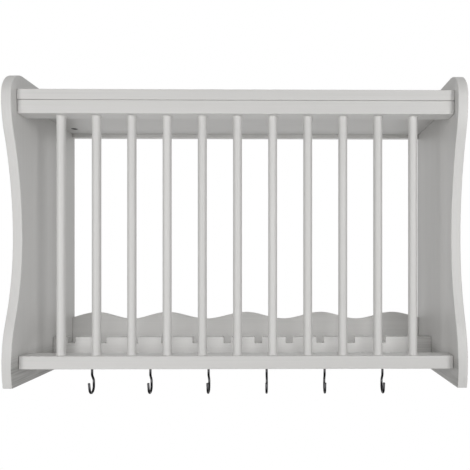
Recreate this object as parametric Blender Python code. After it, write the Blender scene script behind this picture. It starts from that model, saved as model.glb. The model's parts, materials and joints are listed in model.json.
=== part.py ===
"""Wall plate rack with screw hooks, as the separate pieces that it is put together from.

Metres, +Z up. The front faces -Y and the wall plane is Y = 0. Pieces are placed in the rack's own
coordinates, where Z is the height above the panels' feet, and hang from one empty. That empty puts
the world origin in the middle of the hanging rail's back face, where the rack meets the wall.
"""
import math

import bmesh
import bpy
from mathutils import Matrix, Vector

# Side panels: outline seen from the side, with an ogee front edge
RACK_WIDTH = 0.650
PANEL_THICKNESS = 0.014
PANEL_HEIGHT = 0.446
PANEL_DEPTH = 0.220
TOP_ROUND = 0.035
NOSE_FLAT = 0.0052
NOSE_RADIUS = 0.150
WAIST_HEIGHT = 0.2108
WAIST_CUT = 0.0315
BULGE_HEIGHT = 0.0348
BULGE_CUT = 0.001
BULGE_RADIUS = 0.170
PANEL_EDGE_ROUND = 0.0012

# Top shelf and the two front rails
SHELF_THICKNESS = 0.015
SHELF_BELOW_TOP = 0.0237
SHELF_SETBACK = 0.015
RAIL_HEIGHT = 0.019
RAIL_DEPTH = 0.028
TOP_RAIL_SETBACK = 0.016
BOTTOM_RAIL_SETBACK = 0.020
BOTTOM_RAIL_FOOT = 0.0238
BOARD_EDGE_ROUND = 0.0008

# Spindles between the front rails
SPINDLE_COUNT = 11
SPINDLE_DIAMETER = 0.013
SPINDLE_END_MARGIN = 0.056
SPINDLE_TENON = 0.008
SPINDLE_CHAMFER = 0.0008

# Notched plate rest
REST_THICKNESS = 0.015
REST_HEIGHT = 0.035
REST_ABOVE_RAIL = 0.0118
REST_FROM_WALL = 0.0745
NOTCH_WIDTH = 0.012
NOTCH_DEPTH = 0.010

# Wavy back board and hanging rail, both flush with the panels' back edges
BACK_THICKNESS = 0.010
WAVY_BOARD_FOOT = 0.0208
WAVY_BOARD_HEIGHT = 0.0672
WAVE_CRESTS = (-0.2695, -0.1440, -0.0010, 0.1335, 0.2640)
WAVE_DEPTH = 0.0118
WAVE_STEP = 0.0085
HANGING_RAIL_DROP = 0.0060
WALL_HOLE_DIAMETER = 0.0066
WALL_HOLE_FROM_PANEL = 0.091
WALL_HOLE_SINK = 0.0022

# Screw hooks in the bottom front rail
HOOK_COUNT = 6
HOOK_WIRE = 0.0034
HOOK_END_MARGIN = 0.09975
HOOK_DROP = 0.038
HOOK_BOWL_RADIUS = 0.0084
HOOK_BOWL_FORWARD = 0.0015
HOOK_NECK_DROP = 0.0093
HOOK_NECK_RADIUS = 0.005
HOOK_NECK_ANGLE = math.radians(40)
HOOK_TIP_LENGTH = 0.0098
HOOK_TIP_LEAN = math.radians(14)
HOOK_THREAD_POINT = 0.003
RAIL_CORE = 0.002

# Cam locks and cam bolts of the shelf
CAM_DIAMETER = 0.0106
CAM_RECESS = 0.0004
CAM_SLOT_WIDTH = 0.0014
CAM_SLOT_LENGTH = 0.0070
CAM_SLOT_DEPTH = 0.0022
CAM_FROM_PANEL = 0.0175
CAM_FROM_SHELF_BACK = 0.035
CAM_BEHIND_RAIL = 0.016
CAM_PAST_CENTRE = 0.003
SHELF_SKIN = 0.0035
BOLT_THREAD = 0.005
BOLT_COLLAR = 0.0062
BOLT_COLLAR_LENGTH = 0.0012
BOLT_NECK = 0.0040
BOLT_HEAD = 0.0054
BOLT_HEAD_LENGTH = 0.003
BOLT_PAST_CAM = 0.0012

# Dowels, pins, assembly screws and screw caps
DOWEL_DIAMETER = 0.008
DOWEL_LENGTH = 0.030
PIN_DIAMETER = 0.006
PIN_LENGTH = 0.028
PEG_CHAMFER = 0.0008
PANEL_SKIN = 0.005
SCREW_DIAMETER = 0.005
SCREW_LENGTH = 0.048
SCREW_HEAD = 0.0096
SCREW_SINK = 0.0008
SCREW_DRIVE = 0.0042
SCREW_DRIVE_DEPTH = 0.0024
SCREW_POINT = 0.004
CAP_DIAMETER = 0.0125
CAP_DOME = 0.0012
CAP_RIM = 0.0005
CAP_PEG = 0.0034
CAP_PEG_LENGTH = 0.0015

# Clearances and facets
JOINT_GAP = 0.0003
CUT_OVERRUN = 0.002
BLIND_ROOM = 0.0005
ROUND_SIDES = 24
SMALL_SIDES = 16
ARC_STEPS = 10
MERGE_DISTANCE = 0.000001
SHARP_ANGLE = math.radians(40)

# Places worked out from the sizes above; heights are above the panels' feet
INNER_WIDTH = RACK_WIDTH - 2 * PANEL_THICKNESS
BOARD_LENGTH = INNER_WIDTH - 2 * JOINT_GAP
FRONT = -PANEL_DEPTH
SHELF_TOP = PANEL_HEIGHT - SHELF_BELOW_TOP
SHELF_UNDERSIDE = SHELF_TOP - SHELF_THICKNESS
SHELF_BACK = -BACK_THICKNESS - JOINT_GAP
SHELF_MIDDLE = (SHELF_TOP + SHELF_UNDERSIDE) / 2
TOP_RAIL_TOP = SHELF_UNDERSIDE - JOINT_GAP
TOP_RAIL_UNDERSIDE = TOP_RAIL_TOP - RAIL_HEIGHT
TOP_RAIL_FRONT = FRONT + TOP_RAIL_SETBACK
TOP_RAIL_BACK = TOP_RAIL_FRONT + RAIL_DEPTH
BOTTOM_RAIL_TOP = BOTTOM_RAIL_FOOT + RAIL_HEIGHT
BOTTOM_RAIL_FRONT = FRONT + BOTTOM_RAIL_SETBACK
BOTTOM_RAIL_BACK = BOTTOM_RAIL_FRONT + RAIL_DEPTH
REST_TOP = BOTTOM_RAIL_TOP + REST_ABOVE_RAIL
REST_FOOT = REST_TOP - REST_HEIGHT
REST_BACK = -REST_FROM_WALL
REST_FRONT = REST_BACK - REST_THICKNESS
HANGING_RAIL_FOOT = SHELF_UNDERSIDE - HANGING_RAIL_DROP
ORIGIN_HEIGHT = (PANEL_HEIGHT + HANGING_RAIL_FOOT) / 2
RAILS_OVERLAP_FRONT = max(TOP_RAIL_FRONT, BOTTOM_RAIL_FRONT)
RAILS_OVERLAP_BACK = min(TOP_RAIL_BACK, BOTTOM_RAIL_BACK)
SPINDLE_LINE = (RAILS_OVERLAP_FRONT + RAILS_OVERLAP_BACK) / 2
SPINDLE_PITCH = (INNER_WIDTH - 2 * SPINDLE_END_MARGIN) / (SPINDLE_COUNT - 1)
HOOK_LINE = (BOTTOM_RAIL_FRONT + BOTTOM_RAIL_BACK) / 2
HOOK_PITCH = (INNER_WIDTH - 2 * HOOK_END_MARGIN) / (HOOK_COUNT - 1)
HOOK_THREAD_LENGTH = RAIL_HEIGHT - SPINDLE_TENON - RAIL_CORE
IN_PANEL = PANEL_THICKNESS - PANEL_SKIN
CAM_BORE_DEPTH = SHELF_THICKNESS - SHELF_SKIN
CAM_LINES = {
    "front": TOP_RAIL_BACK + CAM_BEHIND_RAIL,
    "back": SHELF_BACK - CAM_FROM_SHELF_BACK,
}
SIDES = {"left": -1, "right": 1}

# Turns a body that was made along +X so that it stands along +Z
UPRIGHT = Matrix.Rotation(-math.pi / 2, 4, "Y")


def clear_scene():
    for old in list(bpy.data.objects):
        bpy.data.objects.remove(old, do_unlink=True)


def finish(name, colour, roughness, metallic):
    """A Principled material with the piece's plain colour."""
    material = bpy.data.materials.new(name)
    material.use_nodes = True
    shader = material.node_tree.nodes["Principled BSDF"]
    shader.inputs["Base Color"].default_value = (*colour, 1.0)
    shader.inputs["Roughness"].default_value = roughness
    shader.inputs["Metallic"].default_value = metallic
    material.diffuse_color = (*colour, 1.0)
    return material


def row(count, pitch):
    """Places of evenly spaced pieces, centred on zero."""
    return [(index - (count - 1) / 2) * pitch for index in range(count)]


def add_block(bm, low, high):
    low, high = Vector(low), Vector(high)
    place = Matrix.Translation((low + high) / 2) @ Matrix.Diagonal((*(high - low), 1.0))
    bmesh.ops.create_cube(bm, size=1.0, matrix=place)


def add_turned(bm, profile, place, sides=ROUND_SIDES):
    """A turned body from (distance along X, radius) points that start and end on the axis."""
    kept = set(bm.verts)
    points = [bm.verts.new((along, 0.0, radius)) for along, radius in profile]
    edges = [bm.edges.new(pair) for pair in zip(points, points[1:])]
    bmesh.ops.spin(
        bm, geom=points + edges, cent=(0, 0, 0), axis=(1, 0, 0),
        angle=math.tau, steps=sides, use_merge=True,
    )
    made = [vert for vert in bm.verts if vert not in kept]
    bmesh.ops.remove_doubles(bm, verts=made, dist=MERGE_DISTANCE)
    made = [vert for vert in bm.verts if vert not in kept]
    faces = {face for vert in made for face in vert.link_faces}
    bmesh.ops.recalc_face_normals(bm, faces=list(faces))
    bmesh.ops.transform(bm, matrix=place, verts=made)


def add_rod(bm, start, end, radius, sides=ROUND_SIDES):
    """A round bar from start to end, used to cut bores."""
    start, end = Vector(start), Vector(end)
    run = end - start
    turn = Vector((1, 0, 0)).rotation_difference(run).to_matrix().to_4x4()
    profile = [(0.0, 0.0), (0.0, radius), (run.length, radius), (run.length, 0.0)]
    add_turned(bm, profile, Matrix.Translation(start) @ turn, sides)


def add_outline(bm, outline, run):
    """A board from a closed outline, drawn out along a vector."""
    face = bm.faces.new([bm.verts.new(point) for point in outline])
    grown = bmesh.ops.extrude_face_region(bm, geom=[face])
    moved = [part for part in grown["geom"] if isinstance(part, bmesh.types.BMVert)]
    bmesh.ops.translate(bm, verts=moved, vec=run)
    bmesh.ops.recalc_face_normals(bm, faces=bm.faces)


def new_mesh(name, build):
    """A mesh that a function fills through bmesh."""
    mesh = bpy.data.meshes.new(name)
    bm = bmesh.new()
    build(bm)
    bm.to_mesh(mesh)
    bm.free()
    return mesh


def put(name, data, material=None, location=(0, 0, 0), turn_z=0.0):
    """Places an object in the rack's coordinates."""
    piece = bpy.data.objects.new(name, data)
    bpy.context.scene.collection.objects.link(piece)
    piece.parent = RACK
    piece.location = location
    piece.rotation_euler = (0, 0, turn_z)
    if material and not data.materials:
        data.materials.append(material)
    return piece


def smooth(mesh):
    mesh.shade_smooth()
    mesh.set_sharp_from_angle(angle=SHARP_ANGLE)


def ease_edges(piece, width):
    bevel = piece.modifiers.new("eased_edges", "BEVEL")
    bevel.width = width
    bevel.segments = 2
    bevel.limit_method = "ANGLE"
    bevel.angle_limit = SHARP_ANGLE


def cut(piece, name, build, location=(0, 0, 0), turn_z=0.0):
    """Cuts shapes that don't cross each other out of a piece."""
    cutter = put(name, new_mesh(name, build), None, location, turn_z)
    cutter.hide_render = True
    cutter.display_type = "WIRE"
    boolean = piece.modifiers.new(name, "BOOLEAN")
    boolean.operation = "DIFFERENCE"
    boolean.solver = "EXACT"
    boolean.object = cutter


def ogee(start, end, convex_radius):
    """Two arcs that meet smoothly, from one upright stretch to another.

    The points are (depth behind the nose, height). The arc at the start has the convex radius,
    and the arc at the end takes up the rest.
    """
    (depth, height), (end_depth, end_height) = start, end
    rise = end_height - height
    way = math.copysign(1.0, rise)
    angle = 2 * math.atan(abs((end_depth - depth) / rise))
    concave_radius = abs(rise) / math.sin(angle) - convex_radius
    turns = [angle * step / ARC_STEPS for step in range(ARC_STEPS + 1)]
    points = []
    for turn in turns:
        sag = convex_radius * (1 - math.cos(turn))
        points.append((depth + sag, height + way * convex_radius * math.sin(turn)))
    for turn in reversed(turns[:-1]):
        sag = concave_radius * (1 - math.cos(turn))
        points.append((end_depth - sag, end_height - way * concave_radius * math.sin(turn)))
    return points


def panel_outline():
    """Points of a side panel, as (depth behind the nose, height), from the back over the top."""
    nose = (0.0, PANEL_HEIGHT - TOP_ROUND - NOSE_FLAT)
    waist = (WAIST_CUT, WAIST_HEIGHT)
    bulge = (BULGE_CUT, BULGE_HEIGHT)
    points = [(PANEL_DEPTH, 0.0), (PANEL_DEPTH, PANEL_HEIGHT)]
    for step in range(ARC_STEPS + 1):
        turn = math.pi / 2 * step / ARC_STEPS
        depth = TOP_ROUND * (1 - math.sin(turn))
        points.append((depth, PANEL_HEIGHT - TOP_ROUND * (1 - math.cos(turn))))
    points += ogee(nose, waist, NOSE_RADIUS)
    points += list(reversed(ogee(bulge, waist, BULGE_RADIUS)))[1:]
    foot_turn = math.asin(BULGE_HEIGHT / BULGE_RADIUS)
    foot_steps = ARC_STEPS // 2
    for step in range(1, foot_steps + 1):
        turn = foot_turn * step / foot_steps
        depth = BULGE_CUT + BULGE_RADIUS * (1 - math.cos(turn))
        points.append((depth, BULGE_HEIGHT - BULGE_RADIUS * math.sin(turn)))
    return points


def peg_sites():
    """Wooden pegs at each end of the boards: board, peg name, line, height, diameter, length."""
    rest_solid = REST_HEIGHT - NOTCH_DEPTH
    hanging_height = PANEL_HEIGHT - HANGING_RAIL_FOOT
    wavy_low = WAVY_BOARD_HEIGHT - WAVE_DEPTH
    back_line = -BACK_THICKNESS / 2
    top_middle = (TOP_RAIL_TOP + TOP_RAIL_UNDERSIDE) / 2
    bottom_middle = BOTTOM_RAIL_FOOT + RAIL_HEIGHT / 2
    dowel = (DOWEL_DIAMETER, DOWEL_LENGTH)
    pin = (PIN_DIAMETER, PIN_LENGTH)
    return [
        ("top_front_rail", "dowel_top_rail", TOP_RAIL_FRONT + RAIL_DEPTH / 2, top_middle, *dowel),
        ("bottom_front_rail", "dowel_bottom_rail",
         BOTTOM_RAIL_FRONT + RAIL_DEPTH / 4, bottom_middle, *dowel),
        ("plate_rest_rail", "dowel_plate_rest",
         REST_BACK - REST_THICKNESS / 2, REST_FOOT + rest_solid * 0.3, *dowel),
        ("hanging_rail", "pin_hanging_upper", back_line, PANEL_HEIGHT - hanging_height / 4, *pin),
        ("hanging_rail", "pin_hanging_lower", back_line,
         HANGING_RAIL_FOOT + hanging_height / 4, *pin),
        ("wavy_back_board", "pin_wavy_upper", back_line, WAVY_BOARD_FOOT + wavy_low * 3 / 4, *pin),
        ("wavy_back_board", "pin_wavy_lower", back_line, WAVY_BOARD_FOOT + wavy_low / 4, *pin),
    ]


def screw_sites():
    """Assembly screws through each panel: board, screw name, line, height."""
    rest_solid = REST_HEIGHT - NOTCH_DEPTH
    return [
        ("bottom_front_rail", "bottom_rail",
         BOTTOM_RAIL_BACK - RAIL_DEPTH / 4, BOTTOM_RAIL_FOOT + RAIL_HEIGHT / 2),
        ("plate_rest_rail", "plate_rest",
         REST_BACK - REST_THICKNESS / 2, REST_FOOT + rest_solid * 3 / 4),
    ]


def inward(side, distance, line, height):
    """A point at a distance inside a panel's inner face; negative is inside the panel."""
    return (side * (INNER_WIDTH / 2 - distance), line, height)


def facing_in(side, distance, line, height):
    """Places a body made along +X so that it points from a panel into the rack."""
    turn = Matrix.Rotation(0.0 if side < 0 else math.pi, 4, "Z")
    return Matrix.Translation(inward(side, distance, line, height)) @ turn


def screw_profile(gap):
    """A countersunk screw from its head, or with a gap the bore that it passes through."""
    head = SCREW_HEAD / 2 + gap
    shank = SCREW_DIAMETER / 2 + gap
    neck = SCREW_SINK + head - shank
    return head, shank, neck


def board_end_bores(bm, board):
    """Bores for the pegs and screws in both ends of a board."""
    for side in SIDES.values():
        for owner, _, line, height, diameter, length in peg_sites():
            if owner == board:
                depth = length - IN_PANEL + BLIND_ROOM
                add_rod(bm, inward(side, -CUT_OVERRUN, line, height),
                        inward(side, depth, line, height), diameter / 2 + JOINT_GAP, SMALL_SIDES)
        for owner, _, line, height in screw_sites():
            if owner == board:
                depth = SCREW_LENGTH - PANEL_THICKNESS + SCREW_SINK + BLIND_ROOM
                add_rod(bm, inward(side, -CUT_OVERRUN, line, height),
                        inward(side, depth, line, height),
                        SCREW_DIAMETER / 2 + JOINT_GAP, SMALL_SIDES)


def side_panels(material):
    """Two boards with an ogee front edge, bored for every peg, bolt and screw."""
    for name, side in SIDES.items():
        outer = side * RACK_WIDTH / 2
        outline = [(outer, depth - PANEL_DEPTH, height) for depth, height in panel_outline()]

        def build(bm):
            add_outline(bm, outline, (-side * PANEL_THICKNESS, 0, 0))

        def bores(bm):
            for _, _, line, height, diameter, _ in peg_sites():
                add_rod(bm, inward(side, CUT_OVERRUN, line, height),
                        inward(side, -IN_PANEL - BLIND_ROOM, line, height),
                        diameter / 2 + JOINT_GAP, SMALL_SIDES)
            for line in CAM_LINES.values():
                add_rod(bm, inward(side, CUT_OVERRUN, line, SHELF_MIDDLE),
                        inward(side, -IN_PANEL - BLIND_ROOM, line, SHELF_MIDDLE),
                        BOLT_THREAD / 2 + JOINT_GAP, SMALL_SIDES)
            head, shank, neck = screw_profile(JOINT_GAP)
            through = PANEL_THICKNESS + CUT_OVERRUN
            profile = [(-CUT_OVERRUN, 0.0), (-CUT_OVERRUN, head), (SCREW_SINK, head),
                       (neck, shank), (through, shank), (through, 0.0)]
            for _, _, line, height in screw_sites():
                add_turned(bm, profile, facing_in(side, -PANEL_THICKNESS, line, height))

        panel = put("side_panel_" + name, new_mesh("side_panel_" + name, build), material)
        ease_edges(panel, PANEL_EDGE_ROUND)
        cut(panel, "cut_side_panel_" + name, bores)


def straight_board(name, low, high, material):
    """A plain board with eased edges."""
    board = put(name, new_mesh(name, lambda bm: add_block(bm, low, high)), material)
    ease_edges(board, BOARD_EDGE_ROUND)
    return board


def top_shelf(material):
    """Shelf with a cam bore near each corner of its underside and bolt bores in its ends."""
    half = BOARD_LENGTH / 2
    shelf = straight_board(
        "top_shelf", (-half, FRONT + SHELF_SETBACK, SHELF_UNDERSIDE), (half, SHELF_BACK, SHELF_TOP),
        material,
    )

    def cam_bores(bm):
        for side in SIDES.values():
            for line in CAM_LINES.values():
                add_rod(bm, inward(side, CAM_FROM_PANEL, line, SHELF_UNDERSIDE - CUT_OVERRUN),
                        inward(side, CAM_FROM_PANEL, line, SHELF_UNDERSIDE + CAM_BORE_DEPTH),
                        CAM_DIAMETER / 2 + JOINT_GAP)

    def bolt_bores(bm):
        for side in SIDES.values():
            for line in CAM_LINES.values():
                add_rod(bm, inward(side, -CUT_OVERRUN, line, SHELF_MIDDLE),
                        inward(side, CAM_FROM_PANEL, line, SHELF_MIDDLE),
                        BOLT_COLLAR / 2 + JOINT_GAP, SMALL_SIDES)

    cut(shelf, "cut_shelf_cams", cam_bores)
    cut(shelf, "cut_shelf_bolts", bolt_bores)


def front_rails(material):
    """Top and bottom rails, with blind holes for the spindles and for the hooks' threads."""
    half = BOARD_LENGTH / 2
    hole = SPINDLE_DIAMETER / 2 + JOINT_GAP
    top = straight_board(
        "top_front_rail", (-half, TOP_RAIL_FRONT, TOP_RAIL_UNDERSIDE),
        (half, TOP_RAIL_BACK, TOP_RAIL_TOP), material,
    )
    bottom = straight_board(
        "bottom_front_rail", (-half, BOTTOM_RAIL_FRONT, BOTTOM_RAIL_FOOT),
        (half, BOTTOM_RAIL_BACK, BOTTOM_RAIL_TOP), material,
    )

    def top_holes(bm):
        board_end_bores(bm, "top_front_rail")
        for x in row(SPINDLE_COUNT, SPINDLE_PITCH):
            add_rod(bm, (x, SPINDLE_LINE, TOP_RAIL_UNDERSIDE - CUT_OVERRUN),
                    (x, SPINDLE_LINE, TOP_RAIL_UNDERSIDE + SPINDLE_TENON), hole)

    def bottom_holes(bm):
        board_end_bores(bm, "bottom_front_rail")
        for x in row(SPINDLE_COUNT, SPINDLE_PITCH):
            add_rod(bm, (x, SPINDLE_LINE, BOTTOM_RAIL_TOP + CUT_OVERRUN),
                    (x, SPINDLE_LINE, BOTTOM_RAIL_TOP - SPINDLE_TENON), hole)
        for x in row(HOOK_COUNT, HOOK_PITCH):
            add_rod(bm, (x, HOOK_LINE, BOTTOM_RAIL_FOOT - CUT_OVERRUN),
                    (x, HOOK_LINE, BOTTOM_RAIL_FOOT + HOOK_THREAD_LENGTH),
                    HOOK_WIRE / 2 + JOINT_GAP, SMALL_SIDES)

    cut(top, "cut_top_front_rail", top_holes)
    cut(bottom, "cut_bottom_front_rail", bottom_holes)


def plate_rest_rail(material):
    """Rail with a notch behind each gap of the spindle row, where a plate's rim stands."""
    half = BOARD_LENGTH / 2
    outline = [(half, REST_FRONT, REST_FOOT), (-half, REST_FRONT, REST_FOOT),
               (-half, REST_FRONT, REST_TOP)]
    for x in row(SPINDLE_COUNT + 1, SPINDLE_PITCH):
        left, right = x - NOTCH_WIDTH / 2, x + NOTCH_WIDTH / 2
        floor = REST_TOP - NOTCH_DEPTH
        outline += [(left, REST_FRONT, REST_TOP), (left, REST_FRONT, floor),
                    (right, REST_FRONT, floor), (right, REST_FRONT, REST_TOP)]
    outline.append((half, REST_FRONT, REST_TOP))
    rail = put("plate_rest_rail", new_mesh(
        "plate_rest_rail", lambda bm: add_outline(bm, outline, (0, REST_THICKNESS, 0))), material)
    ease_edges(rail, BOARD_EDGE_ROUND)
    cut(rail, "cut_plate_rest_rail", lambda bm: board_end_bores(bm, "plate_rest_rail"))


def wave_dip(x):
    """How far the wavy edge lies below its crests; the end waves go on past the last crests."""
    last = len(WAVE_CRESTS) - 1
    after = next((at for at in range(1, last) if x < WAVE_CRESTS[at]), last)
    start, end = WAVE_CRESTS[after - 1], WAVE_CRESTS[after]
    return WAVE_DEPTH * (1 - math.cos(math.tau * (x - start) / (end - start))) / 2


def wavy_back_board(material):
    """Low back board; its top edge is a hand-drawn wave with unevenly spaced crests."""
    half = BOARD_LENGTH / 2
    top = WAVY_BOARD_FOOT + WAVY_BOARD_HEIGHT
    steps = round(BOARD_LENGTH / WAVE_STEP)
    outline = [(half, -BACK_THICKNESS, WAVY_BOARD_FOOT), (-half, -BACK_THICKNESS, WAVY_BOARD_FOOT)]
    for step in range(steps + 1):
        x = -half + BOARD_LENGTH * step / steps
        outline.append((x, -BACK_THICKNESS, top - wave_dip(x)))
    board = put("wavy_back_board", new_mesh(
        "wavy_back_board", lambda bm: add_outline(bm, outline, (0, BACK_THICKNESS, 0))), material)
    ease_edges(board, BOARD_EDGE_ROUND)
    cut(board, "cut_wavy_back_board", lambda bm: board_end_bores(bm, "wavy_back_board"))


def hanging_rail(material):
    """Back rail that carries the rack, with two countersunk holes above the shelf."""
    half = BOARD_LENGTH / 2
    rail = straight_board(
        "hanging_rail", (-half, -BACK_THICKNESS, HANGING_RAIL_FOOT), (half, 0, PANEL_HEIGHT),
        material,
    )
    bore = WALL_HOLE_DIAMETER / 2
    mouth = bore + WALL_HOLE_SINK
    through = BACK_THICKNESS + CUT_OVERRUN
    profile = [(-CUT_OVERRUN, 0.0), (-CUT_OVERRUN, mouth), (0.0, mouth), (WALL_HOLE_SINK, bore),
               (through, bore), (through, 0.0)]
    to_wall = Matrix.Rotation(math.pi / 2, 4, "Z")
    hole_height = (SHELF_TOP + PANEL_HEIGHT) / 2

    def holes(bm):
        board_end_bores(bm, "hanging_rail")
        for x in row(2, INNER_WIDTH - 2 * WALL_HOLE_FROM_PANEL):
            place = Matrix.Translation((x, -BACK_THICKNESS, hole_height)) @ to_wall
            add_turned(bm, profile, place)

    cut(rail, "cut_hanging_rail", holes)


def spindles(material):
    """Round bars let into both rails; they share one mesh."""
    low = BOTTOM_RAIL_TOP - SPINDLE_TENON + JOINT_GAP
    high = TOP_RAIL_UNDERSIDE + SPINDLE_TENON - JOINT_GAP
    length, radius = high - low, SPINDLE_DIAMETER / 2
    profile = [(0.0, 0.0), (0.0, radius - SPINDLE_CHAMFER), (SPINDLE_CHAMFER, radius),
               (length - SPINDLE_CHAMFER, radius), (length, radius - SPINDLE_CHAMFER), (length, 0.0)]
    mesh = new_mesh("spindle", lambda bm: add_turned(bm, profile, UPRIGHT))
    smooth(mesh)
    for number, x in enumerate(row(SPINDLE_COUNT, SPINDLE_PITCH), start=1):
        put("spindle_%02d" % number, mesh, material, (x, SPINDLE_LINE, low))


def hook_path():
    """Wire of a hook as (depth, height, thickness share); the shank is at zero depth.

    The thread comes down to the rail's underside at zero height. The neck bends back and down
    again, and the wire goes round the bowl under the shank and ends in a leaning tip.
    """
    wire, bowl, neck = HOOK_WIRE / 2, HOOK_BOWL_RADIUS, HOOK_NECK_RADIUS
    sine, cosine = math.sin(HOOK_NECK_ANGLE), math.cos(HOOK_NECK_ANGLE)
    centre_depth, centre_height = -HOOK_BOWL_FORWARD, -HOOK_DROP + wire + bowl
    back = centre_depth + bowl
    slant = (back - 2 * neck * (1 - cosine)) / sine
    neck_end = -HOOK_NECK_DROP - 2 * neck * sine - slant * cosine
    thread_top = HOOK_THREAD_LENGTH - BLIND_ROOM
    path = [(0.0, thread_top, 0.2), (0.0, thread_top - HOOK_THREAD_POINT, 1.0), (0.0, 0.0, 1.0)]
    turns = [HOOK_NECK_ANGLE * step / (ARC_STEPS // 2) for step in range(ARC_STEPS // 2 + 1)]
    for turn in turns:
        path.append((neck * (1 - math.cos(turn)), -HOOK_NECK_DROP - neck * math.sin(turn), 1.0))
    for turn in reversed(turns):
        path.append((back - neck * (1 - math.cos(turn)), neck_end + neck * math.sin(turn), 1.0))
    last = HOOK_TIP_LEAN - math.pi
    bowl_steps = 2 * ARC_STEPS
    for step in range(bowl_steps + 1):
        turn = last * step / bowl_steps
        path.append((centre_depth + bowl * math.cos(turn),
                     centre_height + bowl * math.sin(turn), 1.0))
    end_depth, end_height, _ = path[-1]
    for back_off, thickness in ((1.0, 1.0), (0.4, 0.8), (0.0, 0.35)):
        run = HOOK_TIP_LENGTH - back_off * wire
        path.append((end_depth + run * math.sin(last), end_height - run * math.cos(last), thickness))
    return path


def cup_hooks(material):
    """Bent wire hooks screwed into the bottom rail; each origin is on its shank's axis."""
    wire = bpy.data.curves.new("cup_hook", "CURVE")
    wire.dimensions = "3D"
    wire.bevel_depth = HOOK_WIRE / 2
    wire.bevel_resolution = 3
    wire.use_fill_caps = True
    path = hook_path()
    spline = wire.splines.new("POLY")
    spline.points.add(len(path) - 1)
    for point, (depth, height, thickness) in zip(spline.points, path):
        point.co = (0.0, depth, height, 1.0)
        point.radius = thickness
    for number, x in enumerate(row(HOOK_COUNT, HOOK_PITCH), start=1):
        put("cup_hook_%d" % number, wire, material, (x, HOOK_LINE, BOTTOM_RAIL_FOOT))


def cam_locks(material):
    """Drums in the shelf's underside, slotted for a driver, that hold the bolts' heads."""
    radius = CAM_DIAMETER / 2
    height = CAM_BORE_DEPTH - CAM_RECESS - JOINT_GAP
    low = SHELF_UNDERSIDE + CAM_RECESS
    profile = [(0.0, 0.0), (0.0, radius), (height, radius), (height, 0.0)]
    head = BOLT_HEAD / 2 + JOINT_GAP
    neck = BOLT_NECK / 2 + JOINT_GAP
    mouth = -radius - CUT_OVERRUN
    shoulder = BOLT_PAST_CAM - BOLT_HEAD_LENGTH - JOINT_GAP
    floor = SHELF_MIDDLE - low - head
    half_outline = [(mouth, neck), (shoulder, neck), (shoulder, head), (CAM_PAST_CENTRE, head)]
    outline = [(x, y, floor) for x, y in half_outline]
    outline += [(x, -y, floor) for x, y in reversed(half_outline)]
    drum = new_mesh("cam_lock", lambda bm: add_turned(bm, profile, UPRIGHT))

    def pocket(bm):
        add_outline(bm, outline, (0, 0, height + CUT_OVERRUN - floor))
        add_block(bm, (-CAM_SLOT_LENGTH / 2, -CAM_SLOT_WIDTH / 2, -CUT_OVERRUN),
                  (CAM_SLOT_LENGTH / 2, CAM_SLOT_WIDTH / 2, CAM_SLOT_DEPTH))

    for name, side in SIDES.items():
        for end, line in CAM_LINES.items():
            node = "cam_lock_%s_%s" % (end, name)
            turn = 0.0 if side < 0 else math.pi
            place = inward(side, CAM_FROM_PANEL, line, low)
            cam = put(node, drum, material, place, turn)
            cut(cam, "cut_" + node, pocket, place, turn)


def cam_bolts(material):
    """Bolts from the panels into the shelf's ends; the cams pull on their heads."""
    thread, collar = BOLT_THREAD / 2, BOLT_COLLAR / 2
    neck, head = BOLT_NECK / 2, BOLT_HEAD / 2
    face = IN_PANEL
    collar_start = face + 2 * JOINT_GAP
    collar_end = collar_start + BOLT_COLLAR_LENGTH
    end = face + CAM_FROM_PANEL + BOLT_PAST_CAM
    head_start = end - BOLT_HEAD_LENGTH
    profile = [(0.0, 0.0), (0.0, thread * 0.7), (thread * 0.5, thread), (collar_start, thread),
               (collar_start, collar), (collar_end, collar), (collar_end, neck),
               (head_start, neck), (head_start, head), (end, head), (end, 0.0)]
    for name, side in SIDES.items():
        for end_name, line in CAM_LINES.items():
            place = facing_in(side, -IN_PANEL, line, SHELF_MIDDLE)
            mesh = new_mesh("cam_bolt", lambda bm: add_turned(bm, profile, place, SMALL_SIDES))
            smooth(mesh)
            put("cam_bolt_%s_%s" % (end_name, name), mesh, material)


def pegs(material):
    """Dowels and pins across the joints between the boards and the panels."""
    for name, side in SIDES.items():
        for _, peg, line, height, diameter, length in peg_sites():
            radius = diameter / 2
            profile = [(0.0, 0.0), (0.0, radius - PEG_CHAMFER), (PEG_CHAMFER, radius),
                       (length - PEG_CHAMFER, radius), (length, radius - PEG_CHAMFER), (length, 0.0)]
            place = facing_in(side, -IN_PANEL, line, height)
            mesh = new_mesh(peg, lambda bm: add_turned(bm, profile, place, SMALL_SIDES))
            smooth(mesh)
            put("%s_%s" % (peg, name), mesh, material)


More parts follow.
